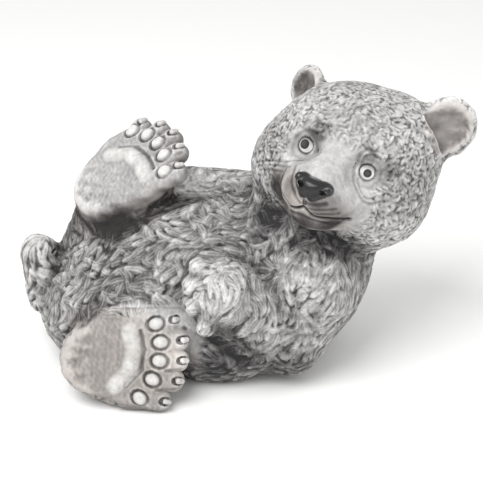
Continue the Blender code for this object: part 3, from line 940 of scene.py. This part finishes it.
stone = {
    "darkWash": "#1f1e1e", "shadowGrey": "#595757", "bodyGrey": "#949392", "rubbedGrey": "#c6c5c4",
    "highlight": "#efefed", "warm": "#d6c9c0", "pad": "#cfcecb", "noseBlack": "#171617", "eyeWhite": "#cdccca",
    "pupilEdge": "#262525", "pupil": "#434241",
    "grainMm": 0.9,  # sand grains in the casting, drawn coarser than real so that they show
    "speckMm": 3.5,
}


def castStone():
    # cast stone, moulded, washed with dark stain and dry-brushed pale: the crevices stay dark and the high points
    # chalky.
    # Over this lie painted shade in sheltered hollows, under the chin and lids and on the low parts, and painted
    # light at a few spots
    material = bpy.data.materials.new("antiquedCastStone")
    material.use_nodes = True
    tree = material.node_tree
    shader = tree.nodes["Principled BSDF"]

    def mark(name):
        return addNode(tree, "ShaderNodeAttribute", attribute_name=name).outputs["Fac"]

    def sum2(operation, a, b, clamp=False):
        return addNode(tree, "ShaderNodeMath", {0: a, 1: b}, operation=operation, use_clamp=clamp).outputs[0]

    def span(value, low, high, to=(0, 1)):
        return addNode(tree, "ShaderNodeMapRange", {"Value": value, "From Min": low, "From Max": high,
                                                    "To Min": to[0], "To Max": to[1]}).outputs[0]

    def blendColour(amount, under, over, mode="MIX"):
        return addNode(tree, "ShaderNodeMix", {0: amount, 6: under, 7: over}, data_type="RGBA",
                       blend_type=mode).outputs[2]

    spot = addNode(tree, "ShaderNodeTexCoord").outputs["Object"]
    grain, speck = (
        addNode(tree, "ShaderNodeTexNoise", {"Vector": spot, "Scale": 1000 / size, "Detail": detail}).outputs[0]
        for size, detail in ((stone["grainMm"], 3.0), (stone["speckMm"], 4.0)))
    cloud = addNode(tree, "ShaderNodeTexNoise", {"Vector": spot, "Scale": 22.0, "Detail": 2.0}).outputs[0]

    fur, relief, hollow = mark("fur"), mark("relief"), mark("hollow")
    strand = mark("strand")

    tone = span(relief, 0.25, 0.85, (0.36, 0.70))
    tone = sum2("ADD", tone, span(strand, 0, 1, (-0.02, 0.05)))
    tone = sum2("ADD", tone, span(hollow, -0.6, 0.6, (0.16, -0.22)))
    tone = sum2("ADD", tone, span(grain, 0.3, 0.7, (-0.04, 0.04)))
    tone = sum2("ADD", tone, span(speck, 0.3, 0.7, (-0.05, 0.05)))
    tone = sum2("ADD", tone, span(cloud, 0.3, 0.7, (-0.04, 0.04)))
    tone = sum2("ADD", tone, span(mark("lockShade"), 0, 1, (-0.03, 0.03)))
    tone = sum2("ADD", tone, span(fur, 0, 1, (0.07, 0)))
    # painted shade where the sky is hidden, with the patina of deep hollows
    tone = sum2("SUBTRACT", tone, span(mark("occlusionShade"), 0.3, 0.9, (0, 0.42)))
    # the wash: patina in the cut lines and eye rims, with painted shade under the upper lids
    tone = sum2("SUBTRACT", tone, sum2("MULTIPLY", mark("washAndShade"), 0.40))
    tone = sum2("SUBTRACT", tone, sum2("MULTIPLY", mark("groove"), 0.34))
    # darker round and above each socket
    tone = sum2("SUBTRACT", tone, sum2("MULTIPLY", mark("socketDarkening"), 0.10))
    # painted shade under the chin, arm and flank and painted light at a few spots, with the casting's patina
    tone = sum2("SUBTRACT", tone, mark("shadeAndStain"), clamp=True)
    ramp = addNode(tree, "ShaderNodeValToRGB", {"Fac": tone})
    stops = ramp.color_ramp.elements
    stops[0].color, stops[1].color = linear(stone["darkWash"]), linear(stone["highlight"])
    stops[1].position = 0.95
    for position, name in ((0.25, "shadowGrey"), (0.5, "bodyGrey"), (0.72, "rubbedGrey")):
        stops.new(position).color = linear(stone[name])
    colour = ramp.outputs["Color"]

    warm = sum2("MULTIPLY", mark("warm"), span(speck, 0.25, 0.75, (0.5, 1.0)))
    colour = blendColour(warm, colour, linear(stone["warm"]), "MULTIPLY")
    rubbed = sum2("MULTIPLY", mark("pad"), span(speck, 0.25, 0.65, (0.45, 0.95)), clamp=True)
    colour = blendColour(rubbed, colour, linear(stone["pad"]))
    nose = sum2("MULTIPLY", mark("noseBlack"), span(hollow, -0.75, -0.42, (0.6, 1)))  # its convex edges are left paler as a painted highlight
    colour = blendColour(nose, colour, linear(stone["noseBlack"]))
    for side in (-1, 1):
        centre, gaze = (toSolid(np.array(spot)) for spot in (head @ Vector(eyePlace(side)), pupilPoint(side)))
        reach, pupil = face["eyeRadius"] * solidScale(), face["pupilRadius"][side] * solidScale()
        fromCentre, fromPupil = (
            addNode(tree, "ShaderNodeVectorMath", {0: spot, 1: tuple(end)}, operation="DISTANCE").outputs["Value"]
            for end in (centre, gaze))
        onBall = span(fromCentre, reach + 0.0012, reach + 0.0005)
        # the painted shade under the upper lid greys the top of each eye white
        white = sum2("MULTIPLY", onBall, span(mark("washAndShade"), 0.2, 0.9, (1, 0)))
        colour = blendColour(white, colour, linear(stone["eyeWhite"]))
        edge = span(fromPupil, pupil + 0.0004, pupil - 0.0003)
        colour = blendColour(edge, colour, linear(stone["pupilEdge"]))
        colour = blendColour(span(fromPupil, pupil - 0.0008, pupil - 0.0022), colour, linear(stone["pupil"]))
    tree.links.new(colour, shader.inputs["Base Color"])

    rough = span(grain, 0.3, 0.7, (0.72, 0.92))
    glazed = sum2("SUBTRACT", rough, sum2("MULTIPLY", mark("noseBlack"), 0.5))  # the nose alone has a sheen
    tree.links.new(glazed, shader.inputs["Roughness"])
    strandBump = addNode(tree, "ShaderNodeBump", {"Height": strand, "Distance": 0.0005, "Strength": 0.5})
    grainBump = addNode(tree, "ShaderNodeBump", {"Height": grain, "Distance": 0.0002, "Strength": 0.6,
                                                 "Normal": strandBump.outputs[0]})
    speckBump = addNode(tree, "ShaderNodeBump", {"Height": speck, "Distance": 0.0005, "Strength": 0.5,
                                                 "Normal": grainBump.outputs[0]})
    tree.links.new(speckBump.outputs[0], shader.inputs["Normal"])
    return material


def faceMarks(points):
    # the black nose, the warm stain on the muzzle, soles and ears, and the pale pads
    inverse = np.array(head.inverted())
    p = points @ inverse[:3, :3].T + inverse[:3, 3]
    nose = np.min([form["gap"](points) for form in noseForms() if not form["cut"]], axis=0)
    black = np.clip((2.3 - nose) / 0.8, 0, 1) * (p[:, 1] < -91.5)
    muzzle = ball(head, (-8, -76, -26), (44, 40, 26), 0)["gap"](points)
    warm = np.clip(0.5 - muzzle / 12, 0, 1) * 0.8
    for centre, radius in (((-66, 0, 50), 19), ((70, 0, 68), 24)):
        ear = ball(head, centre, (radius,) * 3, 0)["gap"](points)
        warm = np.maximum(warm, np.clip(0.5 - ear / 6, 0, 1) * 0.7)
    pads, grooves = np.zeros(len(points)), np.zeros(len(points))
    worn = np.clip(0.85 + 0.25 * ripple(points, 9, 5), 0.35, 1.1)
    for which in (foot["near"], foot["far"]):
        space, size = which["space"], foot["padRadius"]
        around = ball(space, (-8, 18, 0), (66, 34, 52), 0)["gap"](points)
        onWall = block(space @ place((0, which["warmFrom"] + 40, 0)), (90, 40, 90), 0)["gap"](points)
        warm = np.maximum(warm, np.clip(0.5 - np.maximum(around, onWall) / 10, 0, 1) * 0.75)
        toes = toePlaces(which)
        pale = [(ball(padSpace(which, *toe), (0, 0, 0), (size * 1.25, 8, size), 0), 1) for toe in toes]
        pale += [(limb(space, *clawLine(which, *toe), 2.5, 2.1, 0), 0.8) for toe in toes[which["firstClaw"]:]]
        for form, strength in pale:
            gap = form["gap"](points)
            out = (points - form["middle"]) @ np.array(space.to_3x3())
            upper = 0.7 + 0.3 * (out[:, 2] - out[:, 0]) / np.maximum(np.hypot(out[:, 0], out[:, 2]), 1)
            pads = np.maximum(pads, strength * np.clip(0.5 - gap / 1.2, 0, 1))
            grooves = np.maximum(grooves, strength * upper * worn * np.exp(-((gap - 1.3) / 0.75) ** 2))
        bar = solePadBar(which)
        for start, end in zip(bar, bar[1:]):
            pad = limb(space, start, end, foot["barRadius"] + 0.5, foot["barRadius"] + 0.5, 0)["gap"](points)
            pads = np.maximum(pads, np.clip(0.5 - pad / 3, 0, 1) * 1.3)
            start, end = np.add(start, (9.5, -4, 0)), np.add(end, (9.5, -4, 0))
            groove = limb(space, start, end, 1.5, 1.5, 0)["gap"](points)
            grooves = np.maximum(grooves, 0.6 * np.clip(0.7 - groove / 1.5, 0, 1))
        for form in toeClefts(which):
            grooves = np.maximum(grooves, 0.7 * np.clip(0.8 - form["gap"](points) / 1.2, 0, 1))
    return {"noseBlack": black, "warm": warm, "pad": pads, "groove": grooves}


def makeCub():
    mesh, marks = carve()
    points = readPoints(mesh)
    marks.update(faceMarks(points))
    for name, values in marks.items():
        mesh.attributes.new(name, "FLOAT", "POINT").data.foreach_set("value", values.astype(np.float32))
    writePoints(mesh, toSolid(points))
    bm = bmesh.new()
    bm.from_mesh(mesh)
    bmesh.ops.bisect_plane(bm, geom=bm.verts[:] + bm.edges[:] + bm.faces[:], dist=1e-5,
                           plane_co=(0, 0, 0), plane_no=(0, 0, 1), clear_inner=True)
    bmesh.ops.holes_fill(bm, edges=[edge for edge in bm.edges if edge.is_boundary], sides=0)
    bm.to_mesh(mesh)
    bm.free()
    mesh.materials.clear()
    mesh.materials.append(castStone())
    mesh.shade_smooth()
    cub = bpy.data.objects.new("stoneCub", mesh)
    scene.collection.objects.link(cub)
    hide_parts("panda_cub")
    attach(cub, "root")
    return cub


# Studio

studio = {
    "floor": "#f4f4f3", "world": "#ffffff", "worldStrength": 0.75,
    "keyWatts": 34, "keySize": 1.3, "keyAt": (-0.7, -0.9, 1.7),
    "fillWatts": 7, "fillSize": 1.6, "fillAt": (1.5, -1.1, 0.9),
}


def makeStudio():
    world = bpy.data.worlds.new("paleStudio")
    world.use_nodes = True
    back = world.node_tree.nodes["Background"]
    back.inputs["Color"].default_value = linear(studio["world"])
    back.inputs["Strength"].default_value = studio["worldStrength"]
    scene.world = world
    for name in ("key", "fill"):
        lamp = bpy.data.lights.new(name, "AREA")
        lamp.energy = studio[name + "Watts"]
        lamp.size = studio[name + "Size"]
        holder = bpy.data.objects.new(name, lamp)
        holder.location = studio[name + "At"]
        holder.rotation_euler = (Vector((0, 0, 0.1)) - holder.location).to_track_quat("-Z", "Y").to_euler()
        scene.collection.objects.link(holder)
    bm = bmesh.new()
    bmesh.ops.create_grid(bm, x_segments=1, y_segments=1, size=6)
    mesh = bpy.data.meshes.new("floor")
    bm.to_mesh(mesh)
    bm.free()
    floor = bpy.data.objects.new("floor", mesh)
    paper = bpy.data.materials.new("paleBackdropPaper")
    paper.use_nodes = True
    paper.node_tree.nodes["Principled BSDF"].inputs["Base Color"].default_value = linear(studio["floor"])
    paper.node_tree.nodes["Principled BSDF"].inputs["Roughness"].default_value = 0.9
    mesh.materials.append(paper)
    scene.collection.objects.link(floor)


def makeCamera():
    back, _ = viewAxes()
    target = Vector(toSolid(np.array(view["target"], float)))
    camera = bpy.data.objects.new("camera", bpy.data.cameras.new("camera"))
    distance = view["distance"] * solidScale()
    camera.location = target + back * distance
    camera.rotation_euler = (-back).to_track_quat("-Z", "Y").to_euler()
    camera.data.sensor_width = 36
    width = view["pixels"] * view["mmPerPixel"] * solidScale()
    camera.data.lens = camera.data.sensor_width * distance / width
    scene.collection.objects.link(camera)
    scene.camera = camera


makeCamera()
makeStudio()
cub = makeCub()
print("cub made")
